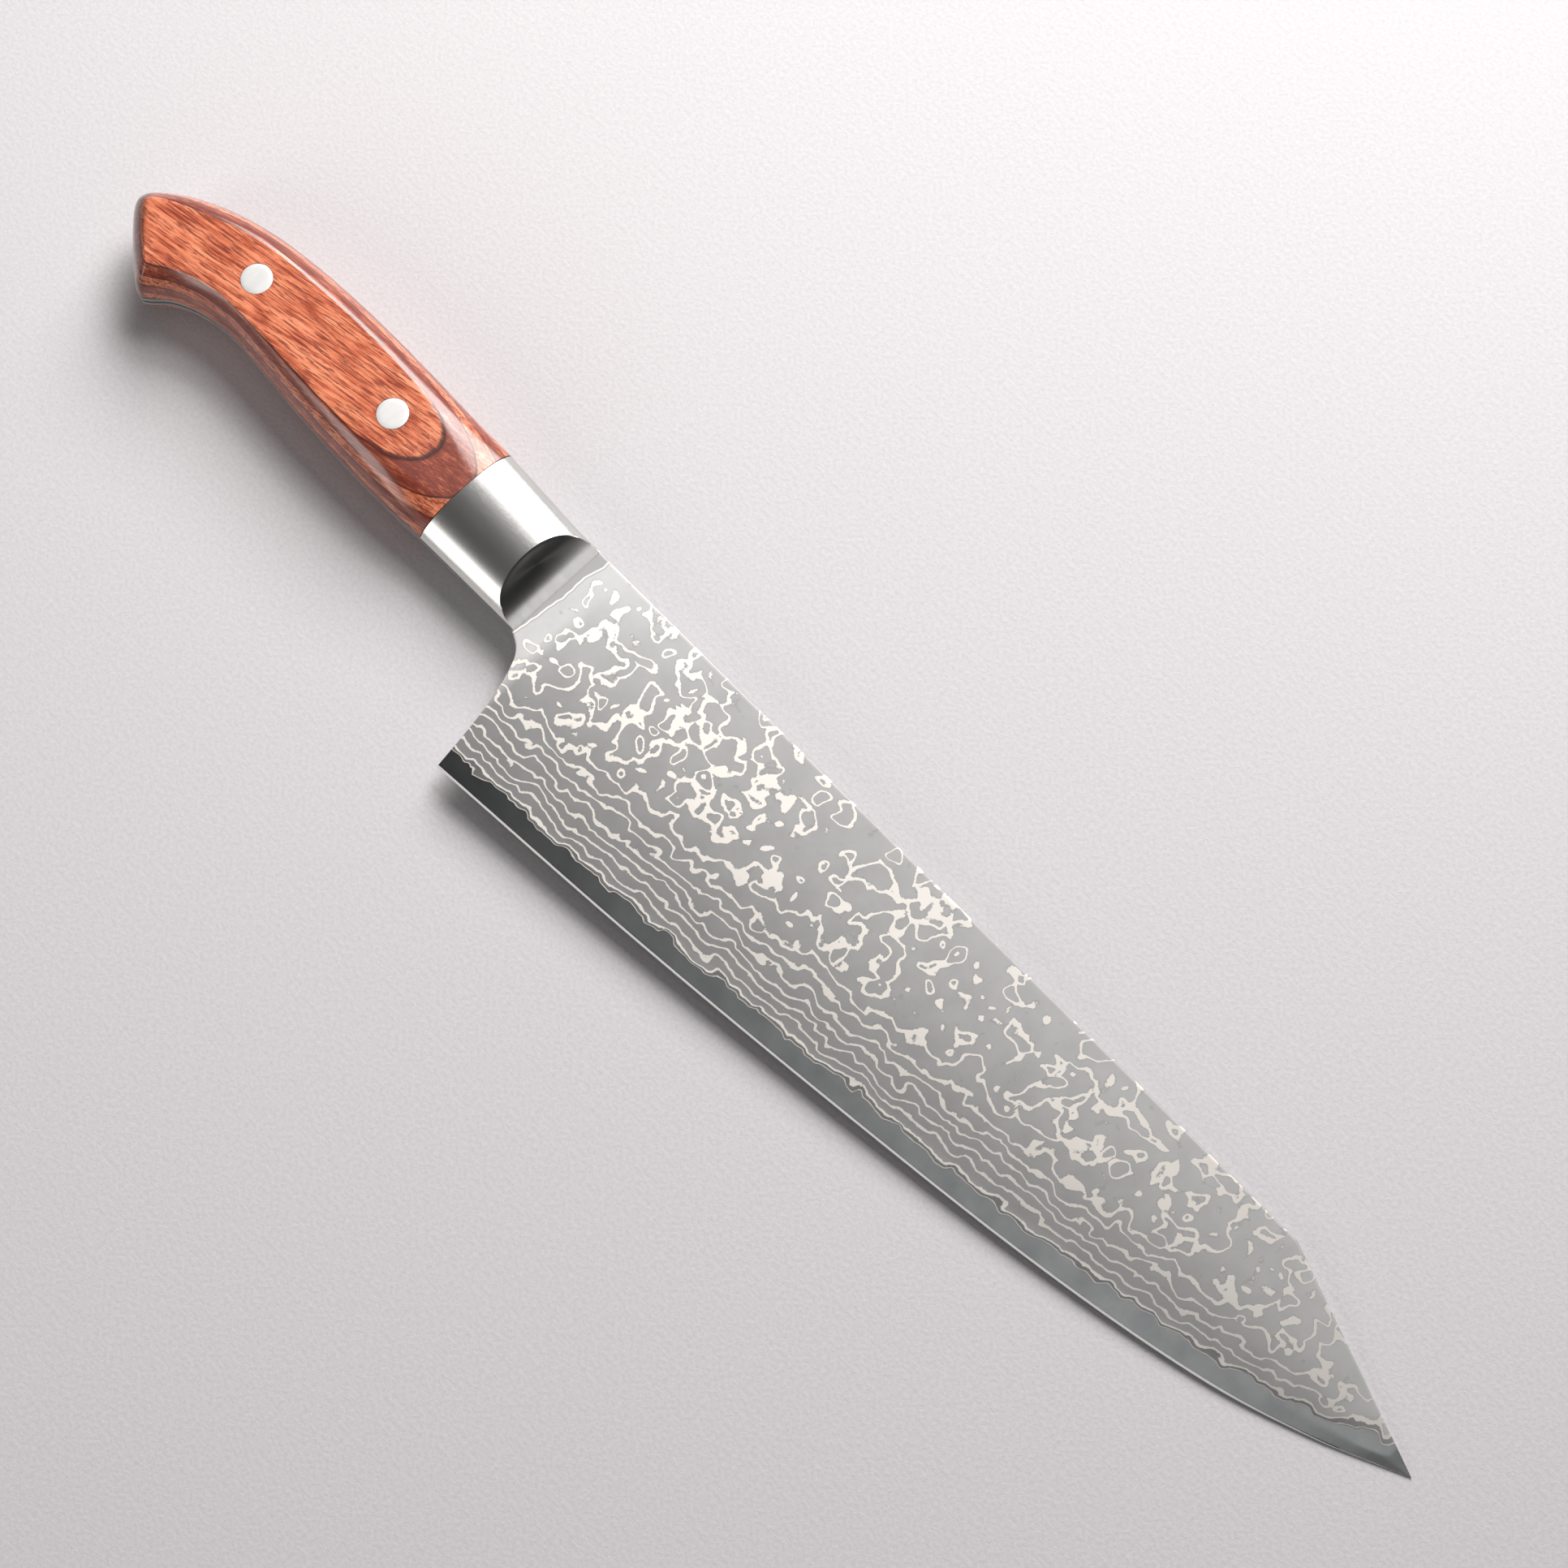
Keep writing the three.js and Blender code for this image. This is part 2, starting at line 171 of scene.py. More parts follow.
def rim_at(t):
    """The rim's row at t, a number from 0 to LAST_ROW, by a Catmull-Rom spline."""
    i = min(int(t), LAST_ROW - 1)
    a, b, c, d = (RIM[min(max(k, 0), LAST_ROW)] for k in range(i - 1, i + 3))
    f = t - i
    return b + 0.5 * f * (c - a + f * (2 * a - 5 * b + 4 * c - d + f * (3 * (b - c) + d - a)))


# ---- the pattern of the layered steel ----
NOISE_SWING = 1.41  # brings the noise to about -1 to 1
DENT_CELL = 5.4  # one dent in each square of this size
DENT_LEAST_RADIUS = 0.22  # in cells
DENT_EXTRA_RADIUS = 0.16
DENT_HEIGHT = 1.5  # from the deepest dent to the highest bump, in layers
DENT_SHARE_DOWN = 0.38  # the share of them that go down
DENT_FLANK = 1.25  # each is level out to a quarter of its radius and slopes out to this many radii
LAYERS_PER_MM = 0.55  # at the edge; the count rises more slowly further up
EDGE_LAYER = 0.5  # the count at the edge
CORE_LAYER = 3.0  # below this count the core shows
FLAT_FROM = 0.35  # share of the bevel's width from which it gradually becomes the flat
WARP = 1.2  # how far the forging is pushed aside
WARP_CELL = 3.7  # and over what distance that changes
FORGING = ((0.75, 8, 7, 1), (0.55, 4.2, 4.2, 2), (0.3, 2.1, 2.1, 3))  # strength, cell x and y, seed
CALM_REACH = 5  # the forging grows from faint to full over this length in front of the bolster
RUNOUT_X = -4.6  # where the hollow grind of the bolster runs out at the spine
RUNOUT_SLANT = 0.08  # how much further forward that is for each millimetre up
# Painted sheen: the blade's steel is drawn brighter where it reflects the lights
EDGE_SHEEN = 0.78
SPINE_SHEEN = 0.6  # added to it at the spine
NECK_SHEEN = 2.1
SHEEN_REACH = 22  # the extra painted sheen beside the bolster falls by two thirds in this length
FOOT_LOWEST = 1.5  # the cladding's foot lies between these heights above the edge
FOOT_HIGHEST = 9
FOOT_STEP = 0.15


def chance(i, j, seed):
    """A number from 0 to 1 for each whole-number place i, j: what follows the point of a large sine."""
    turn = np.sin(i * 127.1 + j * 311.7 + seed * 74.7) * 43758.5453
    return turn - np.floor(turn)


def wobble(x, y, seed):
    """Smooth noise around 0, with a feature in each unit cell."""
    i = np.floor(x)
    j = np.floor(y)
    u = x - i
    v = y - j

    def corner(a, b):
        angle = chance(i + a, j + b, seed) * 2 * np.pi
        return np.cos(angle) * (u - a) + np.sin(angle) * (v - b)

    fade_u = u**3 * (u * (6 * u - 15) + 10)
    fade_v = v**3 * (v * (6 * v - 15) + 10)
    low = corner(0, 0) * (1 - fade_u) + corner(1, 0) * fade_u
    high = corner(0, 1) * (1 - fade_u) + corner(1, 1) * fade_u
    return NOISE_SWING * (low * (1 - fade_v) + high * fade_v)


def dents(x, y):
    """Heights of the round dents and bumps of the forged layers, one in each unit cell."""
    total = 0
    for a in (-1, 0, 1):
        for b in (-1, 0, 1):
            i = np.floor(x) + a
            j = np.floor(y) + b
            away = np.hypot(x - i - chance(i, j, 11), y - j - chance(i, j, 12))
            radius = DENT_LEAST_RADIUS + DENT_EXTRA_RADIUS * chance(i, j, 13)
            height = DENT_HEIGHT * (chance(i, j, 14) - DENT_SHARE_DOWN)
            t = np.clip(DENT_FLANK - away / radius, 0, 1)
            total = total + height * t * t * (3 - 2 * t)
    return total


def layers_at(x, y):
    """Which layer of the cladding comes to the surface, counted in layers from the edge."""
    x = np.asarray(x, float)
    y = np.asarray(y, float)
    tall = blade_height(x)
    above = tall - (spine_at(x) - y)
    width = 0.5 * tall + 3.5  # of the bevel and the stretch that blends it into the flat
    t = np.clip(above / width, 0, 1)
    ground = LAYERS_PER_MM * width * (t - t**3 / 3) + EDGE_LAYER
    warped_x = x + WARP * wobble(x / WARP_CELL, y / WARP_CELL, 5)
    warped_y = y + WARP * wobble(x / WARP_CELL, y / WARP_CELL, 6)
    forged = 0
    for strength, cell_x, cell_y, seed in FORGING:
        forged = forged + strength * wobble(warped_x / cell_x, warped_y / cell_y, seed)
    flat = np.clip((above / width - FLAT_FROM) / (1 - FLAT_FROM), 0, 1)
    waved = 0.85 + 0.15 * flat
    dented = 0.25 + 0.75 * flat  # dents are a quarter as deep on the bevel
    forged = forged * waved + dented * dents(warped_x / DENT_CELL, warped_y / DENT_CELL)
    lively = np.clip((x - NECK_X - 1.5) / CALM_REACH, 0, 1)
    return ground + forged * (0.35 + 0.65 * lively)


def past_runout(x, y):
    """How far a place lies in front of the wavy line where the hollow grind of the bolster runs out."""
    wave = 0.6 * wobble(y / 6, 0.5, 21) + 0.35 * wobble(y / 1.9, 0.5, 22)
    return x - RUNOUT_X - RUNOUT_SLANT * y - wave


def painted_sheen_at(x, y):
    """Painted sheen: how much brighter the steel's colour is drawn where it reflects the lights, most at
    the spine and the neck, least at the edge.
    """
    share = np.clip(1 - (spine_at(x) - y) / blade_height(x), 0, 1)
    beside_bolster = np.exp(-np.maximum(x - NECK_X, 0) / SHEEN_REACH) * share**2
    painted_sheen = (EDGE_SHEEN + SPINE_SHEEN * share) * (1 + 0.8 * beside_bolster)
    neck = np.clip((1.5 - x) / 3, 0, 1)
    return painted_sheen + (np.maximum(painted_sheen, NECK_SHEEN) - painted_sheen) * neck


def cladding_foot(x):
    """The height at which the cladding starts on each x: where its lowest layer comes to the surface."""
    x = np.asarray(x, float)
    step = FOOT_STEP
    foot = edge_at(x) + FOOT_LOWEST
    top = np.minimum(edge_at(x) + FOOT_HIGHEST, spine_at(x))
    for _ in range(round(FOOT_HIGHEST / FOOT_STEP)):
        bare = (layers_at(x, foot) < CORE_LAYER) & (foot < top)
        foot = np.where(bare, foot + step, foot)
    for _ in range(5):  # half a step each time, towards the border
        step = step / 2
        foot = np.where(layers_at(x, foot) < CORE_LAYER, foot + step, foot - step)
    return np.minimum(foot, spine_at(x))


# ---- mesh helpers ----
WELD_DISTANCE = 2e-7  # in metres


def new_piece(name, points, faces, materials, node, sharp=28, attributes=None, face_materials=None):
    """A piece from points in millimetres in the knife's own frame. It replaces its CAD node."""
    mesh = bpy.data.meshes.new(name)
    mesh.from_pydata((np.asarray(points, float) * mm).tolist(), [], faces)
    mesh.transform(KNIFE)
    for key, values in (attributes or {}).items():
        attribute = mesh.attributes.new(key, "FLOAT", "POINT")
        attribute.data.foreach_set("value", np.asarray(values, np.float32))
    for material in materials:
        mesh.materials.append(material)
    if face_materials is not None:
        mesh.polygons.foreach_set("material_index", np.asarray(face_materials, np.int32))
    clean(mesh)
    shade(mesh, sharp)
    piece = bpy.data.objects.new(name, mesh)
    bpy.context.scene.collection.objects.link(piece)
    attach(piece, "root")
    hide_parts(node)
    return piece


def clean(mesh):
    """Merges doubled points and turns every face outwards."""
    bm = bmesh.new()
    bm.from_mesh(mesh)
    bmesh.ops.remove_doubles(bm, verts=bm.verts, dist=WELD_DISTANCE)
    bmesh.ops.recalc_face_normals(bm, faces=bm.faces)
    bm.to_mesh(mesh)
    bm.free()


def shade(mesh, sharp):
    """Smooth shading, except at edges where the surface turns by more than sharp degrees."""
    mesh.polygons.foreach_set("use_smooth", [True] * len(mesh.polygons))
    mesh.set_sharp_from_angle(angle=math.radians(sharp))


def slab(lines, under):
    """Points and faces of a closed solid with a flat bottom at the height under. Each line is an array of
    [x, y, z] across its top."""
    count = len(lines)
    rows = len(lines[0])
    top = np.concatenate(lines)
    ends = np.concatenate([np.array([line[0], line[-1]]) for line in lines])
    ends[:, 2] = under
    points = np.concatenate([top, ends])
    faces = []
    for i in range(count - 1):
        a = i * rows
        b = a + rows
        low = count * rows + 2 * i
        for j in range(rows - 1):
            faces.append((a + j, b + j, b + j + 1, a + j + 1))
        faces.append((low, low + 1, low + 3, low + 2))
        faces.append((a, low, low + 2, b))
        faces.append((a + rows - 1, b + rows - 1, low + 3, low + 1))
    for i in (0, count - 1):
        low = count * rows + 2 * i
        faces.append((*range(i * rows, i * rows + rows), low + 1, low))
    return points, faces


def hand_of(side):
    return "right" if side > 0 else "left"


# ---- materials ----
def node_material(name):
    material = bpy.data.materials.new(name)
    material.use_nodes = True
    return material, material.node_tree


def feed(tree, socket, value):
    """Gives an input a plain value or a link from another node's output."""
    if isinstance(value, bpy.types.NodeSocket):
        tree.links.new(value, socket)
    else:
        socket.default_value = value


def add(tree, kind, inputs=None, **settings):
    """A new node with its settings and inputs."""
    node = tree.nodes.new(kind)
    for key, value in settings.items():
        setattr(node, key, value)
    for key, value in (inputs or {}).items():
        feed(tree, node.inputs[key], value)
    return node


def surface(tree, **inputs):
    shader = tree.nodes["Principled BSDF"]
    for key, value in inputs.items():
        feed(tree, shader.inputs[key.replace("_", " ")], value)


def math_node(tree, operation, a, b=0.0, clamp=False):
    return add(tree, "ShaderNodeMath", {0: a, 1: b}, operation=operation, use_clamp=clamp).outputs[0]


def times(tree, a, b):
    return math_node(tree, "MULTIPLY", a, b)


def mix(tree, factor, a, b):
    """Colour a where the factor is 0, colour b where it is 1."""
    node = add(tree, "ShaderNodeMix", {0: factor}, data_type="RGBA")
    for key, colour in ((6, a), (7, b)):
        feed(tree, node.inputs[key], (*colour, 1) if isinstance(colour, tuple) else colour)
    return node.outputs[2]


def ramp(tree, factor, stops):
    """A colour ramp. Each stop is a place and a colour or a grey."""
    node = add(tree, "ShaderNodeValToRGB", {0: factor})
    elements = node.color_ramp.elements
    while len(elements) < len(stops):
        elements.new(0.5)
    for element, (place, colour) in zip(elements, stops):
        element.position = place
        element.color = (*colour, 1) if isinstance(colour, tuple) else (colour, colour, colour, 1)
    return node.outputs[0]


def scaled(tree, colour, amount):
    """A colour made brighter or darker."""
    return add(tree, "ShaderNodeVectorMath", {0: colour, "Scale": amount}, operation="SCALE").outputs[0]


def between(tree, value, low, high, start=0.0, end=1.0):
    """Low at start, high at end, even in between."""
    return add(tree, "ShaderNodeMapRange", {0: value, 1: start, 2: end, 3: low, 4: high}).outputs[0]


def fade(tree, value, start, end, low=0.0, high=1.0):
    """Low at start, high at end, smooth in between."""
    inputs = {0: value, 1: start, 2: end, 3: low, 4: high}
    return add(tree, "ShaderNodeMapRange", inputs, interpolation_type="SMOOTHSTEP").outputs[0]


def attribute(tree, name):
    """A number that the mesh holds for each of its points."""
    return add(tree, "ShaderNodeAttribute", attribute_name=name).outputs["Fac"]


def place_mm(tree, scale=(1, 1, 1), turn=(0, 0, 0)):
    """The knife's own coordinates, in millimetres, turned and then stretched by scale."""
    back = KNIFE.inverted()
    coordinate = add(tree, "ShaderNodeTexCoord").outputs["Object"]
    inputs = {"Vector": coordinate, "Location": back.translation / mm, "Rotation": back.to_euler()}
    own = add(tree, "ShaderNodeMapping", {**inputs, "Scale": (1 / mm,) * 3}).outputs[0]
    turned = add(tree, "ShaderNodeMapping", {"Vector": own, "Rotation": turn}).outputs[0]
    return add(tree, "ShaderNodeMapping", {"Vector": turned, "Scale": scale}).outputs[0]


def noise(tree, vector, scale=1.0, detail=3.0, roughness=0.5):
    inputs = {"Vector": vector, "Scale": scale, "Detail": detail, "Roughness": roughness}
    return add(tree, "ShaderNodeTexNoise", inputs).outputs["Fac"]


def bump(tree, height, strength, distance, normal=None):
    inputs = {"Height": height, "Strength": strength, "Distance": distance}
    if normal is not None:
        inputs["Normal"] = normal
    return add(tree, "ShaderNodeBump", inputs).outputs[0]


def drawn_out(axis, along_scale, cross_scale):
    """Scales that stretch a texture along one axis."""
    return tuple(along_scale if name == axis else cross_scale for name in "XYZ")


def brushed(tree, along, strength, distance, fine=12):
    """Fine scratches that run along an axis of the knife's frame."""
    scratches = noise(tree, place_mm(tree, drawn_out(along, 0.06, 1.0)), scale=fine, roughness=0.7)
    return scratches, bump(tree, scratches, strength, distance)


# Where the lines of the layered steel start to show and where they are full. The first two are measured
# from the middle of a nickel layer, in layers. The third is a layer count, and the last is measured from
# the line where the hollow grind runs out, in millimetres.
NICKEL = (0.13, 0.095)
ETCHED_RIM = (0.19, 0.125)
CORE_BORDER = (CORE_LAYER + 0.12, CORE_LAYER + 0.05)
RUNOUT_LINE = (0.28, 0.12)
RAGGED = 0.26  # how far fine noise moves the borders of the layers, in layers


def layered_steel():
    """Etched pattern steel: matt grey with raised, brighter layers of nickel."""
    material, tree = node_material("layered_steel")
    place = place_mm(tree)
    layer = attribute(tree, "layer")
    painted_sheen = attribute(tree, "painted_sheen")
    past = attribute(tree, "past_runout")
    ragged = math_node(tree, "SUBTRACT", noise(tree, place, scale=1.5, detail=5, roughness=0.72), 0.5)
    torn = math_node(tree, "ADD", layer, times(tree, ragged, RAGGED))
    from_middle = math_node(tree, "SUBTRACT", math_node(tree, "FRACT", torn), 0.5)
    from_middle = math_node(tree, "ABSOLUTE", from_middle)
    ground = fade(tree, past, 0.05, -0.05)  # the smooth foot of the hollow grind
    nickel = math_node(tree, "SUBTRACT", fade(tree, from_middle, *NICKEL), ground, clamp=True)
    runout = fade(tree, math_node(tree, "ABSOLUTE", past), *RUNOUT_LINE)
    bright = math_node(tree, "MAXIMUM", nickel, runout)
    bright = math_node(tree, "MAXIMUM", bright, fade(tree, layer, *CORE_BORDER, high=0.75))

    mottle = noise(tree, place, scale=0.14, roughness=0.6)
    speckle = noise(tree, place, scale=7.0, detail=2, roughness=0.7)
    grey = ramp(tree, mottle, [(0.3, (0.300, 0.298, 0.295)), (0.7, (0.345, 0.343, 0.339))])
    grey = mix(tree, times(tree, speckle, 0.35), grey, (0.25, 0.25, 0.248))
    # painted sheen: the grey is drawn brighter where the steel reflects the lights
    grey = scaled(tree, grey, painted_sheen)
    lowest = fade(tree, torn, CORE_LAYER + 0.4, CORE_LAYER + 0.55, low=0.55)
    grey = scaled(tree, grey, lowest)  # the layer next to the core is darker
    # painted shadow: a dark band just in front of the line where the hollow grind runs out
    shadow = times(tree, fade(tree, past, 0.55, 0.3), fade(tree, past, -0.05, 0.05))
    rim = fade(tree, from_middle, *ETCHED_RIM, high=0.35)
    # the etched rims and the painted shadow darken the grey together
    etched_rim_and_shadow = math_node(tree, "MAXIMUM", rim, times(tree, shadow, 0.5))
    grey = mix(tree, etched_rim_and_shadow, grey, (0.20, 0.20, 0.197))
    grey = mix(tree, ground, grey, (0.42, 0.415, 0.41))
    # the painted sheen makes the nickel paler too
    pale = mix(tree, fade(tree, painted_sheen, 0.5, 1.3), (0.72, 0.69, 0.64), (0.97, 0.92, 0.86))
    to_tip = add(tree, "ShaderNodeSeparateXYZ", {0: place}).outputs[0]
    pale = scaled(tree, pale, between(tree, to_tip, 1.0, 0.52, end=TIP[0]))  # painted shade: darker towards the tip, where the steel reflects less light
    # painted shade: the grey also darkens slightly towards the tip
    grey = scaled(tree, grey, between(tree, to_tip, 0.97, 0.94, end=TIP[0]))

    relief = bump(tree, bright, 0.3, 0.03 * mm)
    relief = bump(tree, speckle, 0.08, 0.03 * mm, relief)
    surface(
        tree, Base_Color=mix(tree, bright, grey, pale), Metallic=0.35,
        Roughness=between(tree, bright, 0.54, 0.50), Normal=relief,
    )
    return material


def hard_steel():
    """The bare core along the edge: darker, with a fine grind across it."""
    material, tree = node_material("hard_steel")
    scratches, relief = brushed(tree, "Y", 0.12, 0.02 * mm, fine=9)
    place = place_mm(tree)
    cloud = noise(tree, place, scale=0.12)
    colour = ramp(tree, cloud, [(0.3, (0.15, 0.156, 0.16)), (0.7, (0.20, 0.205, 0.207))])
    to_tip = add(tree, "ShaderNodeSeparateXYZ", {0: place}).outputs[0]
    # painted reflection: the core is drawn brighter towards the tip
    colour = scaled(tree, colour, fade(tree, to_tip, 0.0, TIP[0], low=1.3, high=2.3))
    colour = mix(tree, times(tree, scratches, 0.2), colour, (0.25, 0.25, 0.248))
    roughness = between(tree, scratches, 0.18, 0.28)
    surface(tree, Base_Color=colour, Metallic=1.0, Roughness=roughness, Normal=relief)
    return material


def honed_steel_painted_glint():
    """The micro-bevel along the edge, honed, with a painted glint: its colour is drawn near white."""
    material, tree = node_material("honed_steel_painted_glint")
    scratches, relief = brushed(tree, "Y", 0.1, 0.01 * mm, fine=20)
    # painted glint: a near-white colour, so the honed line shows bright from every side
    colour = ramp(tree, scratches, [(0.3, (0.88, 0.88, 0.87)), (0.7, (0.97, 0.97, 0.96))])
    roughness = between(tree, scratches, 0.18, 0.30)
    surface(tree, Base_Color=colour, Metallic=0.3, Roughness=roughness, Normal=relief)
    return material


def satin_steel(name, bright, rough, along="X", metallic=1.0, stretched=0.0):
    """Steel with a satin finish, brushed along one axis. Stretched highlights run round that axis."""
    material, tree = node_material(name)
    scratches, relief = brushed(tree, along, 0.06, 0.02 * mm)
    clouds = noise(tree, place_mm(tree, drawn_out(along, 0.05, 0.7)))
    tone = times(tree, math_node(tree, "ADD", scratches, clouds), 0.5)
    dark = tuple(bright * share for share in (0.86, 0.85, 0.83))
    light = tuple(bright * share for share in (1.08, 1.065, 1.04))
    colour = ramp(tree, tone, [(0.3, dark), (0.7, light)])
    roughness = between(tree, scratches, rough - 0.02, rough + 0.05)
    surface(tree, Base_Color=colour, Metallic=metallic, Roughness=roughness, Normal=relief)
    if stretched:
        round_axis = add(tree, "ShaderNodeTangent", direction_type="RADIAL", axis=along).outputs[0]
        surface(tree, Anisotropic=stretched, Tangent=round_axis)
    return material


GRAIN_TURN = (0, 0, math.radians(-9))  # the grain runs a little across the grip
VENEER = 1.9  # thickness of one veneer
TOP_VENEER_FROM = 7.85  # height at which the outermost veneer starts, along the middle of the grip
VENEER_BEND = 0.010  # the veneers rise with the square of the distance from there
VENEER_WAVES = 0.45
GRIP_MIDDLE_Y = -10.7
BUTT_FROM_X = -96.0  # the middle of the grip starts to drop here
BUTT_TO_X = -128.0
BUTT_SAG = 8.0  # how far it drops
BUTT_NORMAL = -0.7071  # the slanted butt faces half-way between -X and -Y
BUTT_REACH = 106.2  # how far out it lies in that direction
END_GRAIN = (BUTT_REACH - 2.8, BUTT_REACH - 1.2)  # the end grain darkens from the first to the second
WOOD_TONES = [
    (0.34, (0.26, 0.045, 0.024)),
    (0.44, (0.52, 0.115, 0.055)),
    (0.52, (0.77, 0.235, 0.120)),
    (0.64, (0.97, 0.380, 0.210)),
]


def veneer_count(tree, x, y, z):
    """Height in the stack of veneers, counted in veneers from where the outermost one starts."""
    aside = math_node(tree, "SUBTRACT", y, GRIP_MIDDLE_Y)
    aside = math_node(tree, "ADD", aside, fade(tree, x, BUTT_FROM_X, BUTT_TO_X, high=BUTT_SAG))
    rise = times(tree, times(tree, aside, aside), VENEER_BEND)
    height = math_node(tree, "SUBTRACT", math_node(tree, "ABSOLUTE", z), rise)
    waves = math_node(tree, "SUBTRACT", noise(tree, place_mm(tree, (0.1, 0.2, 0.1))), 0.5)
    height = math_node(tree, "ADD", height, times(tree, waves, VENEER_WAVES))
    return times(tree, math_node(tree, "SUBTRACT", height, TOP_VENEER_FROM), 1 / VENEER)


def laminated_wood():
    """Red-brown veneers pressed parallel to the blade, soaked with resin and polished."""
    material, tree = node_material("laminated_wood")
    x, y, z = add(tree, "ShaderNodeSeparateXYZ", {0: place_mm(tree)}).outputs
    count = veneer_count(tree, x, y, z)
    second = math_node(tree, "FLOORED_MODULO", math_node(tree, "FLOOR", count), 2.0)  # 1 in every other
    from_middle = math_node(tree, "SUBTRACT", math_node(tree, "FRACT", count), 0.5)
    glue = fade(tree, math_node(tree, "ABSOLUTE", from_middle), 0.43, 0.485, high=0.85)

    fine = place_mm(tree, (0.06, 1.0, 0.8), GRAIN_TURN)
    pores = noise(tree, fine, scale=3.4, detail=2, roughness=0.6)
    pores = math_node(tree, "ADD", pores, times(tree, second, 0.05))
    long = place_mm(tree, (0.03, 0.5, 0.9), GRAIN_TURN)
    streaks = noise(tree, long, scale=2.4, detail=4, roughness=0.7)
    mottle = noise(tree, place_mm(tree, (0.14, 0.3, 0.3), GRAIN_TURN), roughness=0.55)
    tone = math_node(tree, "ADD", times(tree, streaks, 0.55), 0.07)
    tone = math_node(tree, "ADD", tone, times(tree, mottle, 0.33))
    tone = math_node(tree, "SUBTRACT", tone, times(tree, second, 0.10))
    colour = ramp(tree, tone, WOOD_TONES)
    colour = scaled(tree, colour, fade(tree, second, 0.0, 1.0, low=1.0, high=0.76))
    colour = mix(tree, fade(tree, pores, 0.52, 0.58, high=0.8), colour, (0.20, 0.036, 0.024))
    colour = mix(tree, glue, colour, (0.040, 0.012, 0.010))
    outward = times(tree, math_node(tree, "ADD", x, y), BUTT_NORMAL)
    colour = scaled(tree, colour, fade(tree, outward, *END_GRAIN, low=1.0, high=0.5))

    surface(
        tree, Base_Color=colour, Roughness=between(tree, pores, 0.24, 0.40),
        Normal=bump(tree, pores, 0.08, 0.03 * mm), IOR=1.5, Specular_IOR_Level=0.3,
        Coat_Weight=1.0, Coat_Roughness=0.19,
    )
    return material


def paper():
    """The floor: pale matt paper with a fine tooth."""
    material, tree = node_material("paper")
    place = add(tree, "ShaderNodeTexCoord").outputs["Object"]
    tooth = noise(tree, place, scale=1.1 / mm, roughness=0.65)
    colour = ramp(tree, tooth, [(0.3, (0.60, 0.578, 0.592)), (0.7, (0.68, 0.656, 0.670))])
    surface(tree, Base_Color=colour, Roughness=0.9, Normal=bump(tree, tooth, 0.5, 0.2 * mm))
    return material


# ---- blade ----
EASED = 0.3  # radius of the eased corners of the spine and the choil
CORNER_SHARES = np.array([0, 0.1, 0.3, 0.6, 1])  # points over an eased corner
BEVEL_HEIGHT = 0.45  # share of the blade's height
BEVEL_BLEND = 0.35  # the bevel blends into the flat over this share of it, both ways
BLADE_STEP = 0.5
NECK_LINES = 3
CHOIL_STEPS = 36
HEEL_LINE = NECK_LINES + CHOIL_STEPS + 1  # the number of lines before the first one along the edge
HEEL_LINE_TOP_X = 6.0  # where the line from the heel meets the spine
CLADDING_ROWS = 100
CORE_ROWS = 24
MICRO_BEVEL = 0.45
HONED_HALF = 0.01  # half the edge's thickness, honed from both sides
TINY = 1e-6  # keeps divisors above 0


def grip_lines():
    """Pairs of points across the tang, from the fold at the butt to the bolster."""
    order = range(GRIP_LINES - 1, -1, -1)
    return [(rim_at(i / RIM_STEPS)[:2], rim_at(LAST_ROW - i / RIM_STEPS)[:2]) for i in order]


def blade_lines(foot_at, end_x):
    """Pairs of points across the blade, from the neck down the choil, then along foot_at to end_x."""
    neck = [(GRIP_FRONT_X + 8, NECK_BOTTOM), (OVERLAP_X, NECK_BOTTOM), (NECK_X - 2, NECK_BOTTOM - 0.05)]
    pairs = [(np.array(p), np.array((p[0], 0.0))) for p in neck]
    low = float(foot_at(HEEL[0]))
    for i in range(CHOIL_STEPS + 1):
        down = i / CHOIL_STEPS
        y = CHOIL_TOP + (low - CHOIL_TOP) * down**1.4
        top_x = NECK_X + (HEEL_LINE_TOP_X - NECK_X) * down
        pairs.append((np.array((float(choil_at(y)), y)), np.array((top_x, 0.0))))
    foot_start = pairs[-1][0][0]
    top_start = pairs[-1][1][0]
    steps = round((end_x - foot_start) / BLADE_STEP)
    along = np.arange(1, steps + 1) / steps
    feet_x = foot_start + (end_x - foot_start) * along
    tops_x = top_start + (end_x - top_start) * along
    feet = np.column_stack([feet_x, foot_at(feet_x)])
    tops = np.column_stack([tops_x, spine_at(tops_x)])
    return pairs + list(zip(feet, tops))


def eased_width(length):
    return min(EASED, 0.2 * length)


def across(foot, top, rows):
    """Points from foot to top: closely spaced at both ends, for eased corners, and even elsewhere."""
    length = np.linalg.norm(top - foot)
    corner = CORNER_SHARES * eased_width(length) / max(length, TINY)
    even = rows - 2 * len(CORNER_SHARES) + 2
    middle = np.linspace(corner[-1], 1 - corner[-1], even)[1:-1]
    share = np.concatenate([corner, middle, 1 - corner[::-1]])
    return foot + (top - foot) * share[:, None]


def half_thickness(x, y):
    """Half the thickness of the ground blade: flat at the spine, then blended into the bevel."""
    blade_x = np.maximum(x, HEEL[0])
    above = np.clip(y - edge_at(blade_x), 0, None)
    bevel = np.maximum(BEVEL_HEIGHT * blade_height(blade_x), EDGE_HALF)
    share = np.minimum(above / bevel, 1 + BEVEL_BLEND)
    up = share - np.clip(share - 1 + BEVEL_BLEND, 0, None) ** 2 / (4 * BEVEL_BLEND)
    return EDGE_HALF + (spine_half_at(np.maximum(x, 0)) - EDGE_HALF) * up


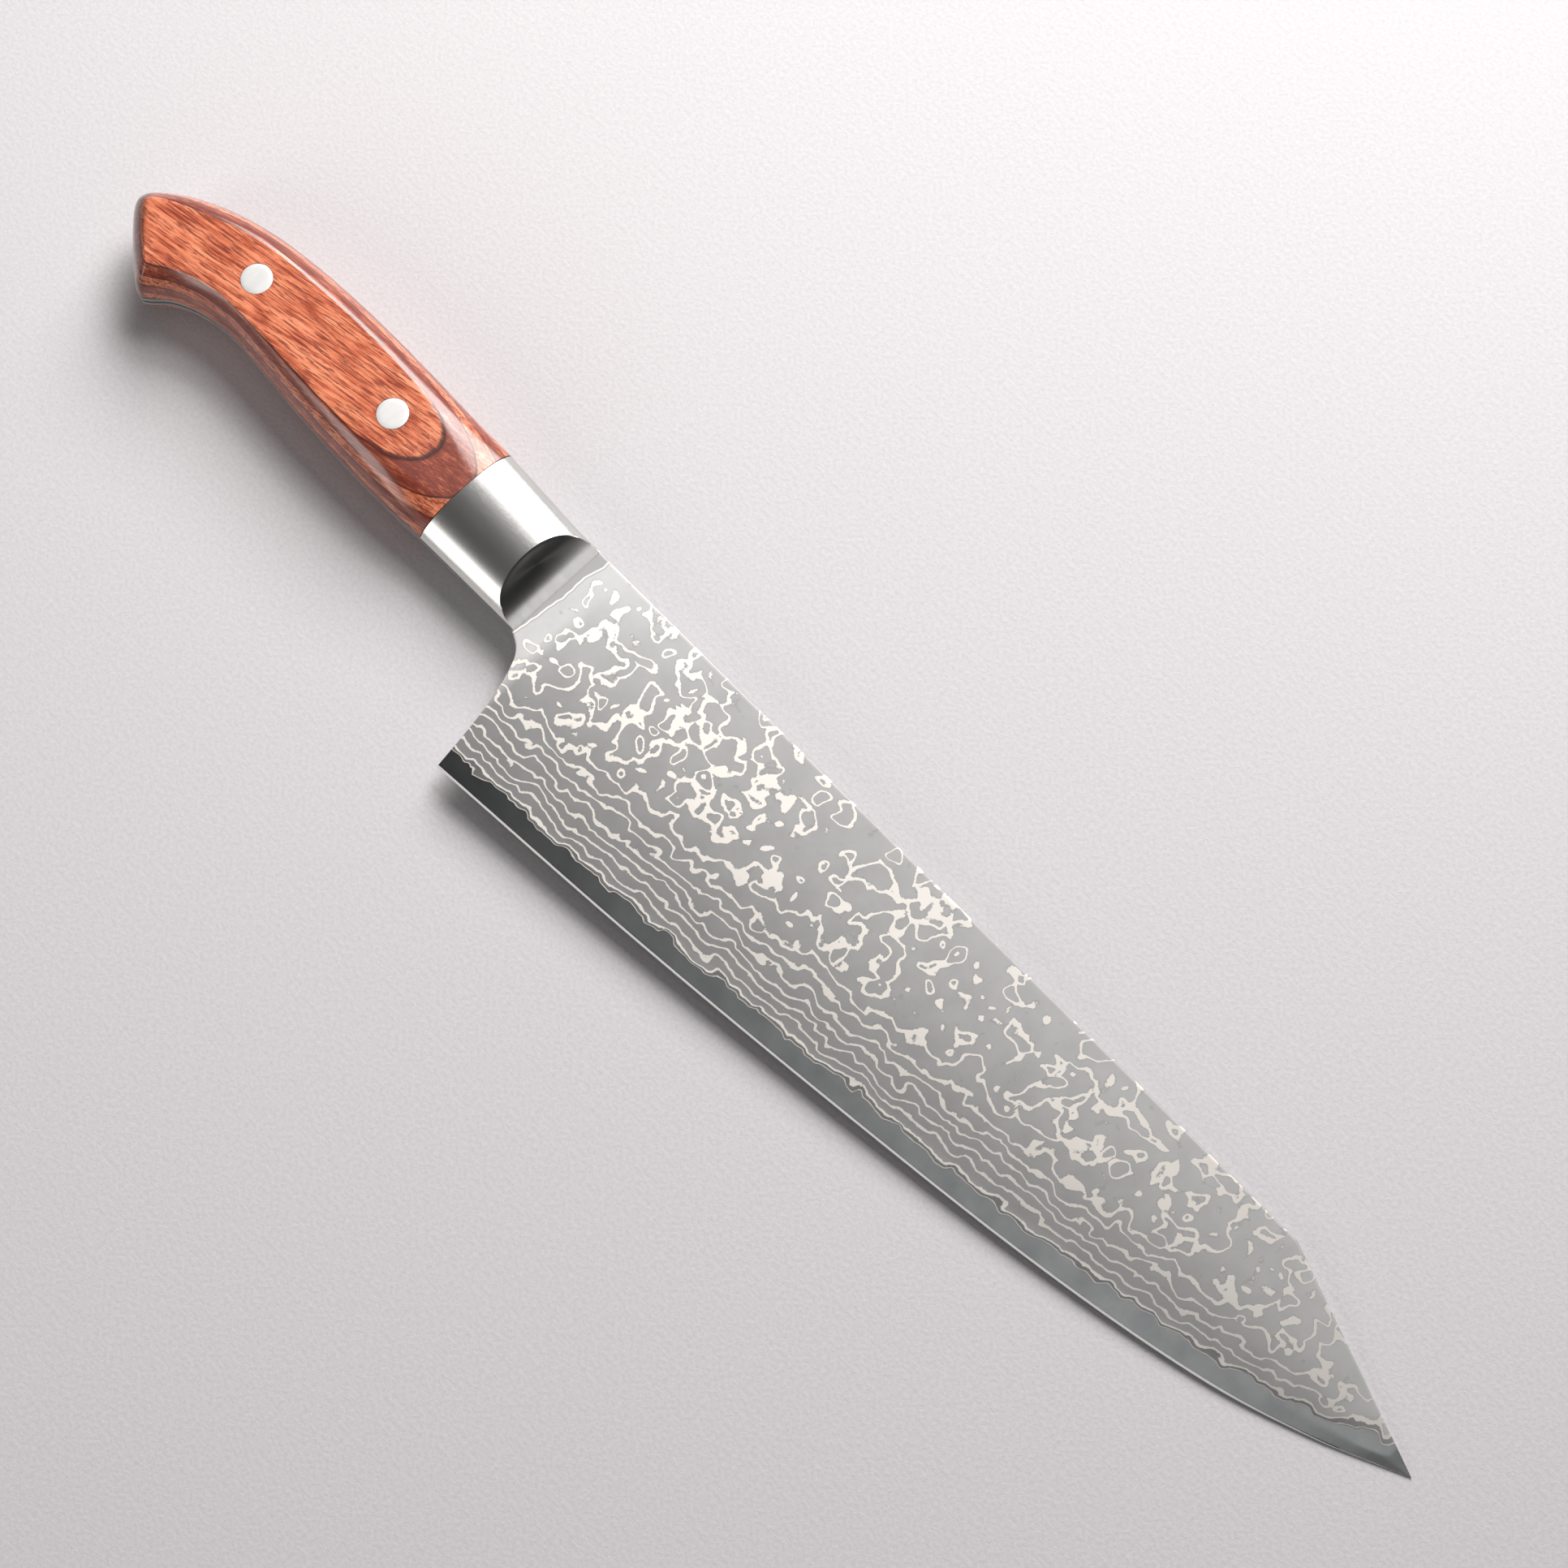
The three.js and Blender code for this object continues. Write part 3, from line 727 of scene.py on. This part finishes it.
def ease(line, end, inner):
    """Lowers a line's heights next to one of its ends along a quarter circle."""
    radius = max(eased_width(np.linalg.norm(line[-1, :2] - line[0, :2])), TINY)
    gap = np.linalg.norm(line[:, :2] - line[end, :2], axis=1)
    inside = np.clip(1 - gap / radius, 0, 1)
    corner = min(EASED, 0.6 * (line[end, 2] - inner))
    line[:, 2] -= corner * (1 - np.sqrt(np.maximum(1 - inside**2, 0)))


def make_cladding(side, material):
    inner = CORE_HALF + BOND
    lines = []
    for foot, top in grip_lines():
        flat = across(foot, top, CLADDING_ROWS)
        lines.append(np.column_stack([flat, np.full(CLADDING_ROWS, BLANK_HALF)]))
    for i, (foot, top) in enumerate(blade_lines(cladding_foot, CLADDING_END_X)):
        flat = across(foot, top, CLADDING_ROWS)
        height = np.maximum(half_thickness(flat[:, 0], flat[:, 1]), inner + FEATHER_EDGE)
        line = np.column_stack([flat, height])
        ease(line, -1, inner)
        if i < HEEL_LINE:
            ease(line, 0, inner)
        lines.append(line)
    points, faces = slab(lines, inner)
    x = points[:, 0]
    y = points[:, 1]
    # the pattern's layer, the painted sheen of the steel and the distance from the run-out, for the shader
    attributes = {"layer": layers_at(x, y), "painted_sheen": painted_sheen_at(x, y), "past_runout": past_runout(x, y)}
    points[:, 2] *= side
    name = "layered_cladding_" + hand_of(side)
    node = "cladding_" + hand_of(side)
    new_piece(name, points, faces, [material], node, attributes=attributes)


def make_core(hard, honed):
    """The hard core: the middle of the tang and the blade, and the whole edge, honed along it."""
    rows = CORE_ROWS
    lines = []
    for foot, top in grip_lines():
        lines.append(np.column_stack([across(foot, top, rows), np.full(rows, CORE_HALF)]))
    for foot, top in blade_lines(edge_at, TIP[0]):
        micro = min(MICRO_BEVEL / max(np.linalg.norm(top - foot), TINY), 0.3)
        shares = np.sort([0, micro, *np.linspace(0.04, 1, rows - 2) ** 1.3])
        flat = foot + (top - foot) * shares[:, None]
        height = np.minimum(half_thickness(flat[:, 0], flat[:, 1]), CORE_HALF)
        lines.append(np.column_stack([flat, height]))
    count = len(lines)
    heel = GRIP_LINES + HEEL_LINE - 1
    for line in lines[heel:]:
        line[0][2] = HONED_HALF
    top = np.concatenate(lines)
    points = np.concatenate([top, top * (1, 1, -1)])
    under = len(top)
    faces = []
    face_materials = []
    for i in range(count - 1):
        a = i * rows
        b = a + rows
        for j in range(rows - 1):
            faces.append((a + j, b + j, b + j + 1, a + j + 1))
            faces.append((under + a + j, under + a + j + 1, under + b + j + 1, under + b + j))
            face_materials += [int(i >= heel and j == 0)] * 2
        faces.append((a, under + a, under + b, b))
        faces.append((a + rows - 1, b + rows - 1, under + b + rows - 1, under + a + rows - 1))
        face_materials += [int(i >= heel), 0]
    for i in (0, count - 1):
        ring = list(range(i * rows, i * rows + rows))
        faces.append((*ring, *(under + k for k in reversed(ring))))
        face_materials.append(0)
    new_piece(
        "edge_core", points, faces, [hard, honed], "core_steel",
        face_materials=face_materials,
    )


# ---- bolster ----
HOLLOW_RADIUS = 13
HOLLOW_TILT = math.radians(5)  # slope with which the hollow runs out on to the blade
BOLSTER_ROWS = 120
BACK_CHAMFER = 0.12  # beside the wood
CREST_EASE = 0.05
SLEEVE_SHARES = (0, 0.004, *np.linspace(0.02, 0.995, 10), 1)  # lines from the wood to the crest
HOLLOW_SHARES = (0.02, *np.linspace(0.06, 1, 34))  # lines from the crest to the blade


def make_bolster(side, material):
    """Half of an elliptic sleeve with a hollow ground in front. Its crest is where the hollow cuts it."""
    base = BLANK_HALF + BOND
    first = math.asin(base / BOLSTER_HALF)
    angle = first + (math.pi - 2 * first) * np.linspace(0, 1, BOLSTER_ROWS)
    height = np.maximum(BOLSTER_HALF * np.sin(angle), base)
    floor = base + FEATHER_EDGE
    centre_z = floor + HOLLOW_RADIUS * math.cos(HOLLOW_TILT)
    centre_x = BOLSTER_FRONT_X + HOLLOW_RADIUS * math.sin(HOLLOW_TILT)
    reach = np.sqrt(np.maximum(HOLLOW_RADIUS**2 - (centre_z - np.maximum(height, floor)) ** 2, 0))
    crest = np.minimum(centre_x - reach, BOLSTER_FRONT_X)
    back = GRIP_FRONT_X + JOINT_GAP
    belly_y = RIM[0, 1]
    spine_y = RIM[-1, 1]

    def section_y(x):
        forward = np.clip((x - GRIP_FRONT_X) / (OVERLAP_X - GRIP_FRONT_X), 0, 1)
        low = belly_y + (NECK_BOTTOM - belly_y) * forward
        high = spine_y * (1 - forward)
        radius = (high - low) / 2 / math.cos(first)
        return (low + high) / 2 - radius * np.cos(angle)

    lines = []
    for share in SLEEVE_SHARES:
        x = back + (crest - back) * share
        z = height - (BACK_CHAMFER if share == 0 else 0) - (CREST_EASE if share == 1 else 0)
        lines.append(np.column_stack([x, section_y(x), np.maximum(z, base)]))
    for share in HOLLOW_SHARES:
        x = crest + (BOLSTER_FRONT_X - crest) * (1 - (1 - share) ** 1.15)
        z = centre_z - np.sqrt(np.maximum(HOLLOW_RADIUS**2 - (x - centre_x) ** 2, 0))
        lines.append(np.column_stack([x, section_y(x), np.clip(z, base, height)]))
    points, faces = slab(lines, base)
    points[:, 2] *= side
    name = "ground_bolster_" + hand_of(side)
    new_piece(name, points, faces, [material], "bolster_" + hand_of(side), sharp=24)


# ---- scales ----
SCALE_ROWS = 14  # points from the tang up to the crease
SCALE_SHARP = 24
CREASE_WIDTH = 0.55  # how far the crease is rounded on each side
CREASE_STEPS = 5
FLAT_POINTS = 8
CUTTER_TOP = GRIP_HALF + 1


def scale_column(t):
    """One column of a scale, from the tang up an elliptic side to the crease."""
    x, y, crease_x, crease_y, height, degrees = rim_at(t)
    base = BLANK_HALF + BOND
    degrees = min(degrees, 90)  # the rim's spline may overshoot
    height = min(height, GRIP_HALF)
    last = math.radians(degrees)
    full = height / math.sin(last)
    first = math.asin(base / full)
    reach = math.cos(first) - math.cos(last)
    angle = first + (last - first) * np.linspace(0, 1, SCALE_ROWS)
    inward = ((math.cos(first) - np.cos(angle)) / reach) ** 1.15
    column_x = x + (crease_x - x) * inward
    column_y = y + (crease_y - y) * inward
    return np.column_stack([column_x, column_y, full * np.sin(angle)])


def rounded_crease(column, inner_point):
    """The column with its corner at the crease rounded on to the flat, towards inner_point."""
    corner = column[-1]
    gap = np.linalg.norm(column - corner, axis=1)
    kept = column[gap > CREASE_WIDTH]
    extra = len(column) - len(kept) + CREASE_STEPS
    over = inner_point - corner
    length = np.linalg.norm(over[:2])
    size = min(CREASE_WIDTH, 0.45 * length)
    if size < 1e-3:  # the fold at the butt, where both columns meet
        return np.concatenate([kept, np.repeat(corner[None], extra, 0)])
    after = corner + over / length * size
    t = np.linspace(0, 1, extra + 1)[1:, None]
    bend = kept[-1] * (1 - t) ** 2 + 2 * corner * t * (1 - t) + after * t**2
    return np.concatenate([kept, bend])


def make_scale(side, material):
    lines = []
    for i in range(GRIP_LINES):
        belly = scale_column(i / RIM_STEPS)
        spine = scale_column(LAST_ROW - i / RIM_STEPS)
        left = rounded_crease(belly, spine[-1])
        right = rounded_crease(spine, belly[-1])
        middle = left[-1] + (right[-1] - left[-1]) * np.linspace(0, 1, FLAT_POINTS)[1:-1, None]
        lines.append(np.concatenate([left, middle, right[::-1]]))
    points, faces = slab(lines, BLANK_HALF + BOND)
    name = "wood_scale_" + hand_of(side)
    node = "scale_" + hand_of(side)
    piece = new_piece(name, points, faces, [material], node, sharp=SCALE_SHARP)
    for x in RIVET_X.values():
        drill(piece, x, BARREL_RADIUS + HOLE_GAP, 0)
        drill(piece, x, HEAD_RADIUS + HOLE_GAP, GRIP_HALF - HEAD_DEPTH - HOLE_GAP)
    mesh = piece.data
    if side < 0:
        mesh.transform(KNIFE @ Matrix.Scale(-1, 4, (0, 0, 1)) @ KNIFE.inverted())
        mesh.flip_normals()
    shade(mesh, SCALE_SHARP)


def drill(piece, x, radius, low):
    """Cuts a round hole along Z, from low up through the flat."""
    points, faces = lathe([(0, low), (radius, low), (radius, CUTTER_TOP), (0, CUTTER_TOP)], x, 64)
    mesh = bpy.data.meshes.new("drill")
    mesh.from_pydata((points * mm).tolist(), [], faces)
    mesh.transform(KNIFE)
    clean(mesh)
    tool = bpy.data.objects.new("drill", mesh)
    bpy.context.scene.collection.objects.link(tool)
    cut = piece.modifiers.new("cut", "BOOLEAN")
    cut.operation = "DIFFERENCE"
    cut.solver = "EXACT"
    cut.object = tool
    bpy.context.view_layer.update()
    graph = bpy.context.evaluated_depsgraph_get()
    result = bpy.data.meshes.new_from_object(piece.evaluated_get(graph))
    piece.modifiers.clear()
    piece.data = result
    bpy.data.objects.remove(tool)


def lathe(profile, x, segments=96):
    """Points and faces of a solid turned about the rivet's axis from a profile of (radius, z) points."""
    turn = np.linspace(0, 2 * np.pi, segments, endpoint=False)
    rings = []
    for radius, z in profile:
        ring_x = x + radius * np.cos(turn)
        ring_y = RIVET_Y + radius * np.sin(turn)
        rings.append(np.column_stack([ring_x, ring_y, np.full(segments, z)]))
    faces = []
    for i in range(len(profile) - 1):
        low = i * segments
        high = low + segments
        for j in range(segments):
            k = (j + 1) % segments
            faces.append((low + j, low + k, high + k, high + j))
    return np.concatenate(rings), faces


# ---- rivets ----
HEAD_CHAMFER = 0.16  # height of the eased rim
DOME = 0.03  # how far the face falls from its middle to its rim


def head_profile(stem_radius):
    """Half of a head's profile, from the stem out to its eased rim and over its slightly domed face."""
    under = GRIP_HALF - HEAD_DEPTH
    dome = [(HEAD_RADIUS * share, GRIP_HALF - DOME * share**2) for share in (0.94, 0.7, 0.4, 0.15, 0)]
    return [
        (stem_radius, under),
        (HEAD_RADIUS, under),
        (HEAD_RADIUS, GRIP_HALF - HEAD_CHAMFER),
        (HEAD_RADIUS - 0.05, GRIP_HALF - 2 * DOME),
        *dome,
    ]


def make_rivet(place, x, material):
    """A barrel with a blind bore, its head on the right, and the pin in it, with its head on the left."""
    bore = PIN_RADIUS + PIN_GAP
    bore_end = PIN_END_Z + PIN_END_GAP
    barrel = [(0, bore_end), (bore, bore_end), (bore, BARREL_END_Z), (BARREL_RADIUS, BARREL_END_Z)]
    barrel += head_profile(BARREL_RADIUS)
    pin = [(0, -PIN_END_Z), (PIN_RADIUS, -PIN_END_Z), *head_profile(PIN_RADIUS)]
    for part, profile, side in (("barrel", barrel, 1), ("pin", pin, -1)):
        points, faces = lathe(profile, x)
        points[:, 2] *= side
        name = place + "_turned_" + part
        new_piece(name, points, faces, [material], place + "_rivet_" + part, sharp=35)


def build_knife():
    cladding = layered_steel()
    wood = laminated_wood()
    bolster = satin_steel("satin_steel", bright=0.67, rough=0.23, stretched=0.5)
    rivet = satin_steel("rivet_steel", bright=0.88, rough=0.45, along="Y", metallic=0.55)
    make_core(hard_steel(), honed_steel_painted_glint())
    for side in (1, -1):
        make_cladding(side, cladding)
        make_bolster(side, bolster)
        make_scale(side, wood)
    for place, x in RIVET_X.items():
        make_rivet(place, x, rivet)


build_knife()


# ---- studio ----
SENSOR_WIDTH = 36
FOCAL_LENGTH = 93.17
CAMERA_TURN = [math.radians(degrees) for degrees in (17.2105, 4, 46.5512)]  # 0 looks straight down
CAMERA_TARGET = Vector((55.549, -7.133, 0))
CAMERA_DISTANCE = 822.209
FLOOR_REACH = 3.0  # in metres


def camera():
    """A long lens high above the knife, beyond its tip and its edge. The tip is at the lower right."""
    data = bpy.data.cameras.new("camera")
    data.sensor_width = SENSOR_WIDTH
    data.lens = FOCAL_LENGTH
    data.clip_start = 0.01
    cam = bpy.data.objects.new("camera", data)
    bpy.context.scene.collection.objects.link(cam)
    turn = Euler(CAMERA_TURN).to_matrix()
    place = (CAMERA_TARGET + turn @ Vector((0, 0, CAMERA_DISTANCE))) * mm
    cam.matrix_world = KNIFE @ Matrix.Translation(place) @ turn.to_4x4()
    bpy.context.scene.camera = cam


def softbox(name, place, aim, size, power, colour, spread=180):
    """A rectangular soft light at a place in metres, turned to face aim. Spread is its beam's angle."""
    data = bpy.data.lights.new(name, "AREA")
    data.shape = "RECTANGLE"
    data.size, data.size_y = size
    data.energy = power
    data.color = colour
    data.spread = math.radians(spread)
    light = bpy.data.objects.new(name, data)
    bpy.context.scene.collection.objects.link(light)
    light.location = place
    light.rotation_euler = (Vector(aim) - Vector(place)).to_track_quat("-Z", "Y").to_euler()


def room():
    """A room that is pale near the horizon, dark overhead and dimmer beyond the tip and the butt."""
    world = bpy.data.worlds.new("world")
    world.use_nodes = True
    tree = world.node_tree
    direction = add(tree, "ShaderNodeTexCoord").outputs["Generated"]
    way = add(tree, "ShaderNodeSeparateXYZ", {0: direction}).outputs
    walls = ramp(tree, way["Z"], [(0.0, 0.45), (0.15, 0.30), (0.35, 0.07), (0.6, 0.03)])
    walls = scaled(tree, walls, fade(tree, way["X"], 0.75, 0.35, low=0.55))
    walls = scaled(tree, walls, fade(tree, way["X"], -0.9, -0.55, low=0.3))
    feed(tree, tree.nodes["Background"].inputs["Color"], walls)
    bpy.context.scene.world = world


def paper_floor():
    mesh = bpy.data.meshes.new("floor")
    far = FLOOR_REACH
    mesh.from_pydata([(-far, -far, 0), (far, -far, 0), (far, far, 0), (-far, far, 0)], [], [(0, 1, 2, 3)])
    mesh.materials.append(paper())
    sheet = bpy.data.objects.new("floor", mesh)
    bpy.context.scene.collection.objects.link(sheet)


def studio():
    """The lights are a large key and fill beyond the spine, one beyond the edge and a weak one overhead."""
    camera()
    paper_floor()
    room()
    key_place = (-0.35, 0.65, 0.53)
    softbox("key", key_place, (-0.10, 0.04, 0), (0.64, 0.47), 5.1, (1, 0.985, 0.975), spread=130)
    softbox("fill", (-0.04, 0.60, 0.92), (-0.08, 0, 0), (0.5, 0.4), 5.2, (1, 0.985, 0.98))
    softbox("side", (-0.36, -0.76, 0.48), (-0.08, 0, 0), (0.36, 0.46), 1.9, (1, 0.985, 0.96))
    softbox("above", (-0.02, 0.03, 1.2), (-0.02, 0.03, 0), (0.56, 0.5), 0.55, (1, 0.99, 0.98))
    bpy.context.scene.view_settings.view_transform = "Standard"


studio()
